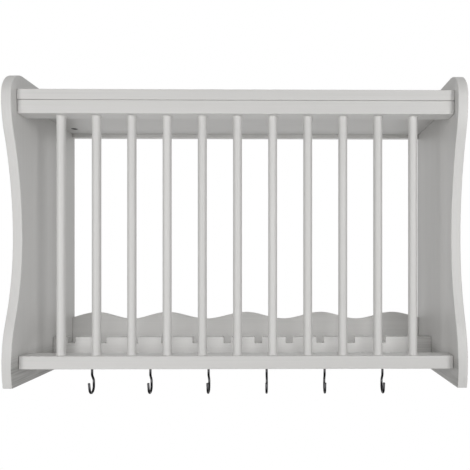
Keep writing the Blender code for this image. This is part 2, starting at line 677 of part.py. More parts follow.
def screws_and_caps(screw_material, cap_material):
    """Countersunk screws through the panels, each under a domed cap that plugs its drive recess."""
    head, shank, neck = screw_profile(0.0)
    drive, peg = SCREW_DRIVE / 2, CAP_PEG / 2
    screw_profile_points = [
        (SCREW_SINK + SCREW_DRIVE_DEPTH, 0.0), (SCREW_SINK + SCREW_DRIVE_DEPTH, drive),
        (SCREW_SINK, drive), (SCREW_SINK, head), (neck, shank),
        (SCREW_SINK + SCREW_LENGTH - SCREW_POINT, shank), (SCREW_SINK + SCREW_LENGTH, 0.0),
    ]
    cap = CAP_DIAMETER / 2
    face = -JOINT_GAP
    dome = [(face - CAP_RIM - CAP_DOME * math.cos(turn), cap * math.sin(turn))
            for turn in (math.pi / 2 * step / 4 for step in range(5))]
    cap_points = dome + [(face, cap), (face, peg), (SCREW_SINK + CAP_PEG_LENGTH, peg),
                         (SCREW_SINK + CAP_PEG_LENGTH, 0.0)]
    for name, side in SIDES.items():
        for _, site, line, height in screw_sites():
            place = facing_in(side, -PANEL_THICKNESS, line, height)
            screw = new_mesh(
                "screw", lambda bm: add_turned(bm, screw_profile_points, place, SMALL_SIDES))
            smooth(screw)
            put("screw_%s_%s" % (site, name), screw, screw_material)
            cover = new_mesh("screw_cap", lambda bm: add_turned(bm, cap_points, place))
            smooth(cover)
            put("screw_cap_%s_%s" % (site, name), cover, cap_material)


clear_scene()
RACK = bpy.data.objects.new("rack", None)
bpy.context.scene.collection.objects.link(RACK)
RACK.location = (0, 0, -ORIGIN_HEIGHT)

PAINTED_WOOD = finish("painted_wood", (0.62, 0.62, 0.605), 0.45, 0.0)
BARE_BEECH = finish("bare_beech", (0.58, 0.40, 0.23), 0.65, 0.0)
HOOK_STEEL = finish("hook_steel", (0.06, 0.06, 0.062), 0.25, 1.0)
ZINC = finish("zinc", (0.55, 0.55, 0.56), 0.40, 1.0)
CAP_PLASTIC = finish("cap_plastic", (0.60, 0.60, 0.59), 0.50, 0.0)

side_panels(PAINTED_WOOD)
top_shelf(PAINTED_WOOD)
front_rails(PAINTED_WOOD)
plate_rest_rail(PAINTED_WOOD)
wavy_back_board(PAINTED_WOOD)
hanging_rail(PAINTED_WOOD)
spindles(PAINTED_WOOD)
cup_hooks(HOOK_STEEL)
cam_locks(ZINC)
cam_bolts(ZINC)
pegs(BARE_BEECH)
screws_and_caps(ZINC, CAP_PLASTIC)
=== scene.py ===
import json
import math

import bmesh
import bpy
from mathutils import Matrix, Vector


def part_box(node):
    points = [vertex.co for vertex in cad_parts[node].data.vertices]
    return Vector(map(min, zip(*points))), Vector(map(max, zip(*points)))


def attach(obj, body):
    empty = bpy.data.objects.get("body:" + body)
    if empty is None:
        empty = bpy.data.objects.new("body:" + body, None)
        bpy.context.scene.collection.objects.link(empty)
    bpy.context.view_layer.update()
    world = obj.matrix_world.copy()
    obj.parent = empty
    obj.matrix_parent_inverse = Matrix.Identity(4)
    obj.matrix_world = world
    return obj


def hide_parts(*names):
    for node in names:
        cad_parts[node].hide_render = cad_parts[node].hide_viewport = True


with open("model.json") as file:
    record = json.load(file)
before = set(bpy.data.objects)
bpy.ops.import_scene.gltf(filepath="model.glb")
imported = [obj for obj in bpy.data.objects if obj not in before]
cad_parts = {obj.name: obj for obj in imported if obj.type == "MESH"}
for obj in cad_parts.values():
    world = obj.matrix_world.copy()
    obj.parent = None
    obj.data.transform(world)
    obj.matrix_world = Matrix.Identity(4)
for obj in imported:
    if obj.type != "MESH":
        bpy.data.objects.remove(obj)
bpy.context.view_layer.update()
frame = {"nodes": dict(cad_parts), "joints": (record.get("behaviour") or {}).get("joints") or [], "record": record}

# Painted plate rack for a wall: every visible piece is remade here with finer edges and its finish.
# Metres, +Z up, the front faces -Y and the wall is Y = 0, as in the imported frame.

# Side panels' outline, seen from the side: depths from the nose, heights from the foot
TOP_ROUND = 0.035
NOSE_FLAT = 0.0052
NOSE_RADIUS = 0.150
WAIST_HEIGHT = 0.2108
WAIST_CUT = 0.0315
BULGE_HEIGHT = 0.0348
BULGE_CUT = 0.001
BULGE_RADIUS = 0.170
OUTLINE_STEPS = 28
PANEL_EDGE = 0.0013

# Boards
BOARD_EDGE = 0.0006
RAIL_EDGE = 0.0013
HIDDEN_EDGE_SHARE = 0.3
REST_EDGE = 0.0009
NOTCH_WIDTH = 0.012
NOTCH_DEPTH = 0.010
WAVE_CRESTS = (-0.2695, -0.1440, -0.0010, 0.1335, 0.2640)
WAVE_DEPTH = 0.0118
WAVE_STEPS = 240

# Paint tones, dark and pale, and painted shade: how far a darker tone reaches into corners and
# under boards, where shade falls; it wraps round an edge and ends there
PAINT_TONES = ("#CBCAC8", "#D3D2D0")
# The spindles' paler tones are painted light: a lighter copy of the paint.
SPINDLE_PAINTED_LIGHT_TONES = ("#CFCECC", "#D7D6D4")
# The plate rest's and hanging rail's paler tones are painted light: a lighter copy of the paint.
BACK_RAIL_PAINTED_LIGHT_TONES = ("#D6D5D3", "#DEDDDB")
PAINTED_SHADE_TONE = "#91908D"
SHADE_WRAP_FULL = 0.0007
SHADE_WRAP_END = 0.0009
SHADE_FOOT_RISE = 0.012
SHADE_FOOT_SHARE = 1.0
SHADE_REST_LENGTH = 0.048
SHADE_REST_FULL = 0.026
SHADE_REST_SHARE = 0.55
SHADE_SHELF_LENGTH = 0.080
SHADE_SHELF_SHARE = 0.50
# Level streaks in the painted shade
SHADE_STREAK = (0.05, 0.06, 0.0018)
SHADE_STREAK_LEAST = 0.55

# Spindles
SPINDLE_SIDES = 40
SPINDLE_ROWS = 44
PAINT_FILLET_WIDTH = 0.0013
PAINT_FILLET_HEIGHT = 0.0013
SPINDLE_SUNK = 0.0012

# Hooks, in the plane of each shank; painted reflection tones by the share of the wire's length
# from shank to tip
HOOK_WIRE = 0.0034
HOOK_DROP = 0.038
HOOK_BOWL_RADIUS = 0.0084
HOOK_BOWL_FORWARD = 0.0015
HOOK_NECK_DROP = 0.0093
HOOK_NECK_RADIUS = 0.005
HOOK_NECK_ANGLE = math.radians(40)
HOOK_TIP_LENGTH = 0.0098
HOOK_TIP_LEAN = math.radians(14)
HOOK_TIP_LEAST = 0.02
HOOK_SUNK = 0.006
HOOK_SIDES = 20
HOOK_BEND_STEPS = 10
HOOK_BOWL_STEPS = 48
HOOK_TIP_STEPS = 8
ALONG_WIRE = "along_wire"
# Painted reflection: grey where the wire would catch light, near black in the bends.
HOOK_PAINTED_REFLECTION_TONES = (
    (0.17, "#4C4C4E"), (0.21, "#0E0E10"), (0.33, "#0E0E10"), (0.40, "#606062"), (0.43, "#585858"),
    (0.47, "#1E1E20"), (0.86, "#121214"), (0.94, "#58585A"),
)
HOOK_REFLECTION_RAGGED = 0.01

# Fittings
CAM_BORE_DIAMETER = 0.0112
CAM_BORE_DEPTH = 0.0115
CAM_BORE_LIP = 0.0003
CAM_EDGE = 0.0003
CAM_SLOT_WIDTH = 0.0015
CAM_SLOT_LENGTH = 0.0074
CAM_SLOT_DEPTH = 0.0022
CAP_DOME = 0.0012
CAP_RIM = 0.0005
CAP_RINGS = 10
WALL_HOLE_DIAMETER = 0.0066
WALL_HOLE_SINK = 0.0022

# Making: how finely round shapes are cut, how far a cutter runs past a face, and where most of a
# noise's values lie
EDGE_SEGMENTS = 4
ROUND_SIDES = 48
SHARP_ANGLE = math.radians(38)
CUT_OVERRUN = 0.002
MERGE_DISTANCE = 0.000001
NOISE_RANGE = {"From Min": 0.3, "From Max": 0.7}
NARROW_NOISE_RANGE = {"From Min": 0.32, "From Max": 0.68}

# Camera, from the photograph's own perspective
IMAGE_SIZE = 470
CAMERA_PLACE = (0.0660, -0.9376, -0.2511)
CAMERA_TURN = math.radians(-0.529)
CAMERA_NEAR = 0.01
FOCAL_PIXELS = 515.52
PRINCIPAL_POINT = (287.71, 265.21)
SENSOR = 36.0

# Light: how strongly it comes from each side of the room, and two upright softboxes in front
SURROUND_RIGHT_BACK_UP = (0.30, 0.74, 0.42)
SURROUND_LEFT_FRONT_DOWN = (0.0, 0.0, 1.25)
SOFTBOXES = {
    "left_softbox": {"place": (-0.55, -1.27, -0.13), "size": (0.53, 0.74), "watts": 6.72},
    "right_softbox": {"place": (0.70, -1.20, -0.03), "size": (0.34, 0.66), "watts": 5.55},
}
SOFTBOX_AIM = (0, -0.1, -0.2)
WHITE = "#FFFFFF"
FLOOR_TONE = "#F4F4F4"
FLOOR_GLOW = 0.5
FLOOR_HALF_SIDE = 1.5
FLOOR_PLACE = (0, -0.9, -0.90)

SIDES = ("left", "right")
CAM_LOCKS = ["cam_lock_%s_%s" % (end, side) for side in SIDES for end in ("front", "back")]
SCREW_CAPS = ["screw_cap_%s_%s" % (site, side)
              for side in SIDES for site in ("bottom_rail", "plate_rest")]


# Helpers


def linear(code):
    """Linear colour of an sRGB hex code."""
    parts = [int(code[at:at + 2], 16) / 255 for at in (1, 3, 5)]
    return [p / 12.92 if p <= 0.04045 else ((p + 0.055) / 1.055) ** 2.4 for p in parts] + [1.0]


def add(tree, kind, inputs=(), **settings):
    """Adds a node: settings are its attributes, inputs are values or sockets to link."""
    made = tree.nodes.new(kind)
    for name, value in settings.items():
        setattr(made, name, value)
    for socket, value in dict(inputs).items():
        if isinstance(value, bpy.types.NodeSocket):
            tree.links.new(value, made.inputs[socket])
        else:
            made.inputs[socket].default_value = value
    return made


def middle(node):
    """Middle of a CAD node's box."""
    low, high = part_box(node)
    return (low + high) / 2


def new_piece(name, data):
    """A new object in the scene."""
    piece = bpy.data.objects.new(name, data)
    bpy.context.scene.collection.objects.link(piece)
    return piece


def mesh_from(name, build):
    """A piece whose mesh a function fills through bmesh."""
    mesh = bpy.data.meshes.new(name)
    bm = bmesh.new()
    build(bm)
    bmesh.ops.recalc_face_normals(bm, faces=bm.faces)
    bm.to_mesh(mesh)
    bm.free()
    return new_piece(name, mesh)


def points_piece(name, places):
    """A piece that holds only points, for a tree to fill."""
    return mesh_from(name, lambda bm: [bm.verts.new(place) for place in places])


def ease_edges(piece, width):
    """Rounds the hard edges, as sanding before the paint does."""
    bevel = piece.modifiers.new("eased_edges", "BEVEL")
    bevel.width = width
    bevel.segments = EDGE_SEGMENTS
    bevel.limit_method = "ANGLE"
    bevel.angle_limit = SHARP_ANGLE
    return bevel


def evaluated_mesh(piece):
    """A plain mesh of the piece as its modifiers leave it."""
    graph = bpy.context.evaluated_depsgraph_get()
    return bpy.data.meshes.new_from_object(
        piece.evaluated_get(graph), preserve_all_data_layers=True, depsgraph=graph)


def settle(piece, material, nodes, body="rack"):
    """Makes a piece a plain mesh with even shading, in place of CAD nodes, on a body."""
    name = piece.name
    mesh = evaluated_mesh(piece)
    bpy.data.objects.remove(piece, do_unlink=True)
    if not mesh.materials:
        mesh.materials.append(material)
    mesh.shade_smooth()
    mesh.set_sharp_from_angle(angle=SHARP_ANGLE)
    piece = new_piece(name, mesh)
    even = piece.modifiers.new("even_shading", "WEIGHTED_NORMAL")
    even.keep_sharp = True
    piece.data = evaluated_mesh(piece)
    piece.modifiers.clear()
    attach(piece, body)
    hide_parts(*nodes)


def size_tree(name, sizes):
    """A geometry tree with one named input for each size; returns it and the inputs' sockets."""
    tree = bpy.data.node_groups.new(name, "GeometryNodeTree")
    tree.interface.new_socket("Geometry", in_out="INPUT", socket_type="NodeSocketGeometry")
    tree.interface.new_socket("Geometry", in_out="OUTPUT", socket_type="NodeSocketGeometry")
    kinds = {float: "NodeSocketFloat", int: "NodeSocketInt", tuple: "NodeSocketVector"}
    for label, value in sizes.items():
        tree.interface.new_socket(label, in_out="INPUT", socket_type=kinds[type(value)])
    return tree, add(tree, "NodeGroupInput").outputs


def end_tree(tree, geometry, material):
    """Closes a tree: real geometry with its finish."""
    real = add(tree, "GeometryNodeRealizeInstances", {"Geometry": geometry})
    finished = add(tree, "GeometryNodeSetMaterial", {
        "Geometry": real.outputs["Geometry"], "Material": material})
    add(tree, "NodeGroupOutput", {"Geometry": finished.outputs["Geometry"]})


def run_tree(piece, tree, sizes):
    """Puts a tree on a piece and sets its sizes before anything looks at the result."""
    grown = piece.modifiers.new(tree.name, "NODES")
    grown.node_group = tree
    for item in tree.interface.items_tree:
        if item.in_out == "INPUT" and item.name in sizes:
            grown[item.identifier] = sizes[item.name]
    return piece


# Finishes. A Mix node's sockets share their names, so they go by number: the share is input 0,
# numbers are inputs 2 and 3 and output 0, and colours are inputs 6 and 7 and output 2.


def blank_material(name):
    """A new material and its empty node tree."""
    material = bpy.data.materials.new(name)
    material.use_nodes = True
    material.node_tree.nodes.clear()
    return material, material.node_tree


def finish(name, look, *details):
    """A new material; its look reads the place on the piece and gives the shader's inputs."""
    material, tree = blank_material(name)
    place = add(tree, "ShaderNodeTexCoord").outputs["Object"]
    shader = add(tree, "ShaderNodeBsdfPrincipled", look(tree, place, *details))
    add(tree, "ShaderNodeOutputMaterial", {"Surface": shader.outputs["BSDF"]})
    return material


def satin_paint(tree, place, along, tones=PAINT_TONES, shade_where=None):
    """Water-based satin paint sprayed on pine, in light grey.

    The film is even and softly shiny. The grain lies under it as faint long streaks, and the
    spray leaves a very fine orange peel. The streaks run along the board, so each board direction
    has its own finish. Real streaks are near 1 mm wide; they are drawn at 2.4 mm to show at all.
    Painted shade darkens the paint in corners and under boards, with level streaks; shade_where says where.
    """
    streak_width, streak_length, streak_depth = 0.0024, 0.190, 0.00012
    drift_width, drift_length = 0.045, 0.700
    peel_width, peel_depth = 0.0013, 0.00006

    def stretched(across, length, detail):
        scale = [1 / across] * 3
        scale["XYZ".index(along)] = 1 / length
        placed = add(tree, "ShaderNodeMapping", {"Vector": place, "Scale": scale})
        return add(tree, "ShaderNodeTexNoise", {
            "Vector": placed.outputs["Vector"], "Scale": 1.0, "Detail": detail, "Roughness": 0.55,
        }).outputs["Fac"]

    streaks = stretched(streak_width, streak_length, 3.0)
    drift = stretched(drift_width, drift_length, 1.0)
    spray = stretched(peel_width, peel_width, 1.0)
    mixed = add(tree, "ShaderNodeMix", {0: drift, 2: streaks, 3: drift}, data_type="FLOAT")
    tone = add(tree, "ShaderNodeMapRange", {"Value": mixed.outputs[0], **NARROW_NOISE_RANGE})
    dark, pale = tones
    colour = add(tree, "ShaderNodeMix", {
        0: tone.outputs["Result"], 6: linear(dark), 7: linear(pale)}, data_type="RGBA").outputs[2]
    if shade_where:
        # painted shade in corners and under boards
        colour = painted_shade(tree, place, colour, *shade_where)
    gloss = add(tree, "ShaderNodeMapRange", {
        "Value": streaks, **NOISE_RANGE, "To Min": 0.40, "To Max": 0.50})
    grain = add(tree, "ShaderNodeBump", {
        "Strength": 0.35, "Distance": streak_depth, "Height": streaks})
    skin = add(tree, "ShaderNodeBump", {
        "Strength": 0.25, "Distance": peel_depth, "Height": spray,
        "Normal": grain.outputs["Normal"]})
    return {"Base Color": colour, "Roughness": gloss.outputs["Result"],
            "Normal": skin.outputs["Normal"], "IOR": 1.48}


def painted_shade(tree, place, colour, most, fades):
    """Painted shade: darkens paint by up to a share, with level streaks.

    Each fade runs from no painted shade to all of it, off the rack's middle or in height.
    """
    streaked = add(tree, "ShaderNodeMapping", {
        "Vector": place, "Scale": [1 / length for length in SHADE_STREAK]})
    marks = add(tree, "ShaderNodeTexNoise", {
        "Vector": streaked.outputs["Vector"], "Scale": 1.0, "Detail": 2.0})
    share = add(tree, "ShaderNodeMapRange", {
        "Value": marks.outputs["Fac"], **NOISE_RANGE, "To Min": SHADE_STREAK_LEAST * most,
        "To Max": most}).outputs["Result"]
    spot = add(tree, "ShaderNodeSeparateXYZ", {"Vector": place}).outputs
    off_middle = add(tree, "ShaderNodeMath", {0: spot["X"]}, operation="ABSOLUTE").outputs[0]
    ways = {"off_middle": off_middle, "height": spot["Z"]}
    for way, (start, end) in fades.items():
        fade = add(tree, "ShaderNodeMapRange", {
            "Value": ways[way], "From Min": start, "From Max": end},
            interpolation_type="SMOOTHSTEP")
        share = add(tree, "ShaderNodeMath", {
            0: share, 1: fade.outputs["Result"]}, operation="MULTIPLY").outputs[0]
    return add(tree, "ShaderNodeMix", {
        0: share, 6: colour, 7: linear(PAINTED_SHADE_TONE)}, data_type="RGBA").outputs[2]


def painted_shade_inside_feet():
    """Painted shade on the panels' inner faces, below the bottom rail's top."""
    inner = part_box("side_panel_right")[0].x
    low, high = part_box("bottom_front_rail")
    return SHADE_FOOT_SHARE, {
        "off_middle": (inner + SHADE_WRAP_END, inner + SHADE_WRAP_FULL),
        "height": (high.z + SHADE_FOOT_RISE, low.z)}


def painted_shade_at_rest_ends():
    """Painted shade on the plate rest's ends, in the corners with the panels."""
    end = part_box("plate_rest_rail")[1].x
    return SHADE_REST_SHARE, {"off_middle": (end - SHADE_REST_LENGTH, end - SHADE_REST_FULL)}


def painted_shade_under_shelf_ends():
    """Painted shade on the shelf's underside, in the corners with the panels."""
    low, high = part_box("top_shelf")
    return SHADE_SHELF_SHARE, {
        "off_middle": (high.x - SHADE_SHELF_LENGTH, high.x),
        "height": (low.z + SHADE_WRAP_END, low.z + SHADE_WRAP_FULL)}


def black_nickel(tree, place):
    """Steel wire, bent and plated in black nickel: shiny, with fine drawing marks.

    Painted reflection: the shank, the back of the bowl and the tip get a grey highlight, and the bends are near
    black.
    Real drawing marks are under 0.1 mm wide; they are drawn at 0.9 mm to show at all.
    """
    mark_width = 0.0009
    marks = add(tree, "ShaderNodeTexNoise", {
        "Vector": place, "Scale": 1 / mark_width, "Detail": 3.0}).outputs["Fac"]
    along = add(tree, "ShaderNodeAttribute", attribute_name=ALONG_WIRE).outputs["Fac"]
    ragged = add(tree, "ShaderNodeMath", {
        0: marks, 1: HOOK_REFLECTION_RAGGED, 2: along}, operation="MULTIPLY_ADD")
    # painted reflection tone along the wire
    tone = add(tree, "ShaderNodeValToRGB", {"Fac": ragged.outputs[0]})
    stops = tone.color_ramp.elements
    while len(stops) < len(HOOK_PAINTED_REFLECTION_TONES):
        stops.new(1.0)
    for stop, (share, code) in zip(stops, HOOK_PAINTED_REFLECTION_TONES):
        stop.position = share
        stop.color = linear(code)
    gloss = add(tree, "ShaderNodeMapRange", {
        "Value": marks, **NOISE_RANGE, "To Min": 0.28, "To Max": 0.38})
    return {"Base Color": tone.outputs["Color"], "Roughness": gloss.outputs["Result"],
            "Metallic": 1.0}


def zinc(tree, place, dark, pale):
    """Zinc as cast or plated, bright or blackened: dull metal with a cloudy, grainy skin."""
    cloud_width, skin_depth = 0.0022, 0.00005
    cloud = add(tree, "ShaderNodeTexNoise", {
        "Vector": place, "Scale": 1 / cloud_width, "Detail": 4.0}).outputs["Fac"]
    tone = add(tree, "ShaderNodeMix", {
        0: cloud, 6: linear(dark), 7: linear(pale)}, data_type="RGBA")
    gloss = add(tree, "ShaderNodeMapRange", {
        "Value": cloud, **NOISE_RANGE, "To Min": 0.34, "To Max": 0.52})
    skin = add(tree, "ShaderNodeBump", {"Strength": 0.3, "Distance": skin_depth, "Height": cloud})
    return {"Base Color": tone.outputs[2], "Roughness": gloss.outputs["Result"],
            "Normal": skin.outputs["Normal"], "Metallic": 1.0}


def bare_beech(tree, place):
    """Turned beech, unfinished: pale pinkish brown with short darker flecks along the rod."""
    fleck_length, fleck_width, fleck_depth = 0.006, 0.0008, 0.0001
    along = add(tree, "ShaderNodeMapping", {
        "Vector": place, "Scale": (1 / fleck_length, 1 / fleck_width, 1 / fleck_width)})
    fleck = add(tree, "ShaderNodeTexNoise", {
        "Vector": along.outputs["Vector"], "Scale": 1.0, "Detail": 3.0}).outputs["Fac"]
    tone = add(tree, "ShaderNodeMix", {
        0: fleck, 6: linear("#B98A5E"), 7: linear("#D2AA80")}, data_type="RGBA")
    skin = add(tree, "ShaderNodeBump", {"Strength": 0.4, "Distance": fleck_depth, "Height": fleck})
    return {"Base Color": tone.outputs[2], "Roughness": 0.68, "Normal": skin.outputs["Normal"]}


def moulded_polyethylene(tree, place):
    """Injection-moulded polyethylene in the paint's grey: satin, with a fine spark-eroded grain.

    Real pits are near 0.1 mm wide; they are drawn at 0.6 mm to show at all.
    """
    pit_width, pit_depth = 0.0006, 0.00004
    pits = add(tree, "ShaderNodeTexNoise", {
        "Vector": place, "Scale": 1 / pit_width, "Detail": 2.0}).outputs["Fac"]
    tone = add(tree, "ShaderNodeMix", {
        0: pits, 6: linear("#C6C6C4"), 7: linear("#CDCDCB")}, data_type="RGBA")
    skin = add(tree, "ShaderNodeBump", {"Strength": 0.3, "Distance": pit_depth, "Height": pits})
    return {"Base Color": tone.outputs[2], "Roughness": 0.45, "Normal": skin.outputs["Normal"],
            "IOR": 1.51}


# Sawn boards


def sawn_board(name, outline, thickness):
    """A board sawn to an outline; the thickness is the way from that face to the other."""
    def build(bm):
        face = bm.faces.new([bm.verts.new(point) for point in outline])
        grown = bmesh.ops.extrude_face_region(bm, geom=[face])["geom"]
        moved = [part for part in grown if isinstance(part, bmesh.types.BMVert)]
        bmesh.ops.translate(bm, verts=moved, vec=thickness)

    return mesh_from(name, build)


def ogee(start, end, convex_radius):
    """Two arcs that meet smoothly between two upright stretches, as (depth, height) points."""
    (depth, height), (end_depth, end_height) = start, end
    rise = end_height - height
    way = math.copysign(1.0, rise)
    angle = 2 * math.atan(abs((end_depth - depth) / rise))
    concave_radius = abs(rise) / math.sin(angle) - convex_radius
    turns = [angle * step / OUTLINE_STEPS for step in range(OUTLINE_STEPS + 1)]
    points = [(depth + convex_radius * (1 - math.cos(turn)),
               height + way * convex_radius * math.sin(turn)) for turn in turns]
    points += [(end_depth - concave_radius * (1 - math.cos(turn)),
                end_height - way * concave_radius * math.sin(turn)) for turn in turns[-2::-1]]
    return points


def panel_outline(depth, height):
    """A side panel's edge from the back foot over the top to the front foot."""
    nose = (0.0, height - TOP_ROUND - NOSE_FLAT)
    waist = (WAIST_CUT, WAIST_HEIGHT)
    bulge = (BULGE_CUT, BULGE_HEIGHT)
    points = [(depth, 0.0), (depth, height)]
    for step in range(OUTLINE_STEPS + 1):
        turn = math.pi / 2 * step / OUTLINE_STEPS
        points.append((TOP_ROUND * (1 - math.sin(turn)),
                       height - TOP_ROUND * (1 - math.cos(turn))))
    points += ogee(nose, waist, NOSE_RADIUS)
    points += ogee(bulge, waist, BULGE_RADIUS)[-2::-1]
    foot_turn = math.asin(BULGE_HEIGHT / BULGE_RADIUS)
    for step in range(1, OUTLINE_STEPS // 2 + 1):
        turn = foot_turn * step / (OUTLINE_STEPS // 2)
        points.append((BULGE_CUT + BULGE_RADIUS * (1 - math.cos(turn)),
                       BULGE_HEIGHT - BULGE_RADIUS * math.sin(turn)))
    return points


def side_panel(side, paint):
    """A board sawn to the ogee outline, its edges rounded over."""
    node = "side_panel_" + side
    low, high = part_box(node)
    outline = panel_outline(high.y - low.y, high.z - low.z)
    piece = sawn_board("painted_" + node, [(low.x, low.y + d, low.z + h) for d, h in outline],
                       (high.x - low.x, 0, 0))
    ease_edges(piece, PANEL_EDGE)
    settle(piece, paint, [node])


def wave_dip(x):
    """How far the wavy edge lies below its crests; the end waves go on past the last crests."""
    last = len(WAVE_CRESTS) - 1
    after = next((at for at in range(1, last) if x < WAVE_CRESTS[at]), last)
    start, end = WAVE_CRESTS[after - 1], WAVE_CRESTS[after]
    return WAVE_DEPTH * (1 - math.cos(math.tau * (x - start) / (end - start))) / 2


def wavy_board(paint):
    """A low board whose top edge was sawn along a hand-drawn wave."""
    low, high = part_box("wavy_back_board")
    outline = [(high.x, low.z), (low.x, low.z)]
    for step in range(WAVE_STEPS + 1):
        x = low.x + (high.x - low.x) * step / WAVE_STEPS
        outline.append((x, high.z - wave_dip(x)))
    piece = sawn_board("painted_wavy_back_board", [(x, low.y, z) for x, z in outline],
                       (0, high.y - low.y, 0))
    ease_edges(piece, REST_EDGE)
    settle(piece, paint, ["wavy_back_board"])


# Straight boards


def board(node, edge, square_back=False, top_share=1.0):
    """A planed board the size of its CAD node, with rounded edges.

    Its back edges may stay square, and its top edges may get a share of the rounding only.
    """
    low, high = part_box(node)

    def build(bm):
        bmesh.ops.create_cube(bm, size=1.0)
        for vert in bm.verts:
            vert.co = [b if c > 0 else a for a, b, c in zip(low, high, vert.co)]
        weight = bm.edges.layers.float.new("bevel_weight_edge")
        for line in bm.edges:
            at_back = all(vert.co.y > low.y for vert in line.verts)
            at_top = all(vert.co.z > low.z for vert in line.verts)
            share = top_share if at_top else 1.0
            line[weight] = 0.0 if square_back and at_back else share

    piece = mesh_from("painted_" + node, build)
    ease_edges(piece, edge).limit_method = "WEIGHT"
    return piece


def front_rail(node, paint, top_share=1.0):
    """One of the two rails that hold the spindles."""
    settle(board(node, RAIL_EDGE, top_share=top_share), paint, [node])


def bore(piece, places, axis, profile):
    """Cuts the same turned hole at each place; the profile is (distance along the axis, radius)."""
    def build(bm):
        side = axis.zxy  # square to an axis along X, Y or Z
        for place in places:
            points = [bm.verts.new(Vector(place) + axis * far + side * radius)
                      for far, radius in profile]
            edges = [bm.edges.new(pair) for pair in zip(points, points[1:])]
            bmesh.ops.spin(bm, geom=points + edges, cent=place, axis=axis,
                           angle=math.tau, steps=ROUND_SIDES, use_merge=True)
        bmesh.ops.remove_doubles(bm, verts=bm.verts, dist=MERGE_DISTANCE)

    cutter = mesh_from("bore_cutter", build)
    cut = piece.modifiers.new("bore", "BOOLEAN")
    cut.operation = "DIFFERENCE"
    cut.solver = "EXACT"
    cut.object = cutter
    piece.data = evaluated_mesh(piece)
    piece.modifiers.clear()
    bpy.data.objects.remove(cutter, do_unlink=True)


def top_shelf(paint):
    """The shelf, with a shallow-chamfered cam bore near each corner of its underside."""
    piece = board("top_shelf", BOARD_EDGE, square_back=True)
    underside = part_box("top_shelf")[0].z
    places = [(middle(node).x, middle(node).y, underside) for node in CAM_LOCKS]
    radius = CAM_BORE_DIAMETER / 2
    lip = radius + CAM_BORE_LIP
    bore(piece, places, Vector((0, 0, 1)), [
        (-CUT_OVERRUN, 0.0), (-CUT_OVERRUN, lip), (0.0, lip), (CAM_BORE_LIP, radius),
        (CAM_BORE_DEPTH, radius), (CAM_BORE_DEPTH, 0.0)])
    settle(piece, paint, ["top_shelf"])


def hanging_rail(paint):
    """The back rail, with its two countersunk wall holes."""
    piece = board("hanging_rail", REST_EDGE)
    low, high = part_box("hanging_rail")
    places = []
    for opening in frame["record"]["physics"]["openings"]:
        if opening["name"].startswith("wall_screw_hole"):
            first, last = opening["box_m"]
            places.append(((first[0] + last[0]) / 2, low.y, (first[2] + last[2]) / 2))
    radius = WALL_HOLE_DIAMETER / 2
    sunk = radius + WALL_HOLE_SINK
    through = high.y - low.y + CUT_OVERRUN
    bore(piece, places, Vector((0, 1, 0)), [
        (-CUT_OVERRUN, 0.0), (-CUT_OVERRUN, sunk), (0.0, sunk), (WALL_HOLE_SINK, radius),
        (through, radius), (through, 0.0)])
    settle(piece, paint, ["hanging_rail"])


# Notched plate rest


def plate_rest(paint, pitch, notches):
    """A rail with one notch behind each gap of the spindles."""
    low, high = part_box("plate_rest_rail")
    sizes = {
        "Rail Size": tuple(high - low), "Rail Middle": tuple((low + high) / 2),
        "Notches": notches, "Pitch": (pitch, 0.0, 0.0),
        "First Notch": (-pitch * (notches - 1) / 2, (low.y + high.y) / 2, high.z),
        "Notch Size": (NOTCH_WIDTH, high.y - low.y + 2 * CUT_OVERRUN, 2 * NOTCH_DEPTH),
    }
    tree, given = size_tree("notched_rail", sizes)
    rail = add(tree, "GeometryNodeMeshCube", {"Size": given["Rail Size"]})
    placed = add(tree, "GeometryNodeTransform", {
        "Geometry": rail.outputs["Mesh"], "Translation": given["Rail Middle"]})
    line = add(tree, "GeometryNodeMeshLine", {
        "Count": given["Notches"], "Start Location": given["First Notch"],
        "Offset": given["Pitch"]}, mode="OFFSET")
    block = add(tree, "GeometryNodeMeshCube", {"Size": given["Notch Size"]})
    blocks = add(tree, "GeometryNodeInstanceOnPoints", {
        "Points": line.outputs["Mesh"], "Instance": block.outputs["Mesh"]})
    solid = add(tree, "GeometryNodeRealizeInstances", {"Geometry": blocks.outputs["Instances"]})
    cut = add(tree, "GeometryNodeMeshBoolean", {
        "Mesh 1": placed.outputs["Geometry"], "Mesh 2": solid.outputs["Geometry"]},
        operation="DIFFERENCE")
    end_tree(tree, cut.outputs["Mesh"], paint)
    piece = run_tree(points_piece("painted_plate_rest_rail", []), tree, sizes)
    ease_edges(piece, REST_EDGE)
    settle(piece, paint, ["plate_rest_rail"])


# Spindles


